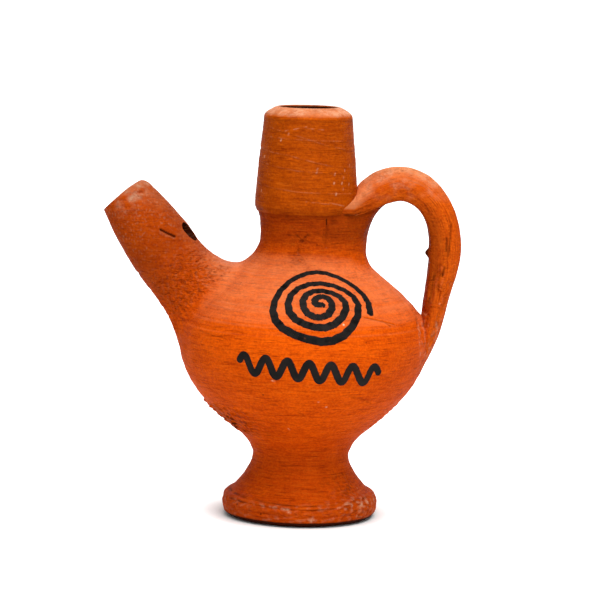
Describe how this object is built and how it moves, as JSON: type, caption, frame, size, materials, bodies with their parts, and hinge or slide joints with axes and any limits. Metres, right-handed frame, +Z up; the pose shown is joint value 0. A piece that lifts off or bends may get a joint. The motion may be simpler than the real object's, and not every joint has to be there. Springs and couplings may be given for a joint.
{
  "type": "botijo",
  "caption": "Small unglazed clay jug on a pedestal foot, with a filling collar, a loop handle and a leaning spout whose window makes it whistle when it is blown.",
  "frame": {"origin": "middle of the foot's flat underside, on the jug's turning axis", "axes": "+Z up along the jug's turning axis, +X toward the handle, -X toward the spout, -Y toward the painted front"},
  "size_m": [0.0878, 0.0608, 0.1008],
  "materials": {
    "clay": "matt",
    "collar_clay": "satin",
    "block_clay": "matt"
  },
  "bodies": {
    "root": {"foot": "clay", "body": "clay", "collar": "collar_clay", "spout": "clay", "fipple_block": "block_clay", "handle": "clay"}
  },
  "joints": []
}
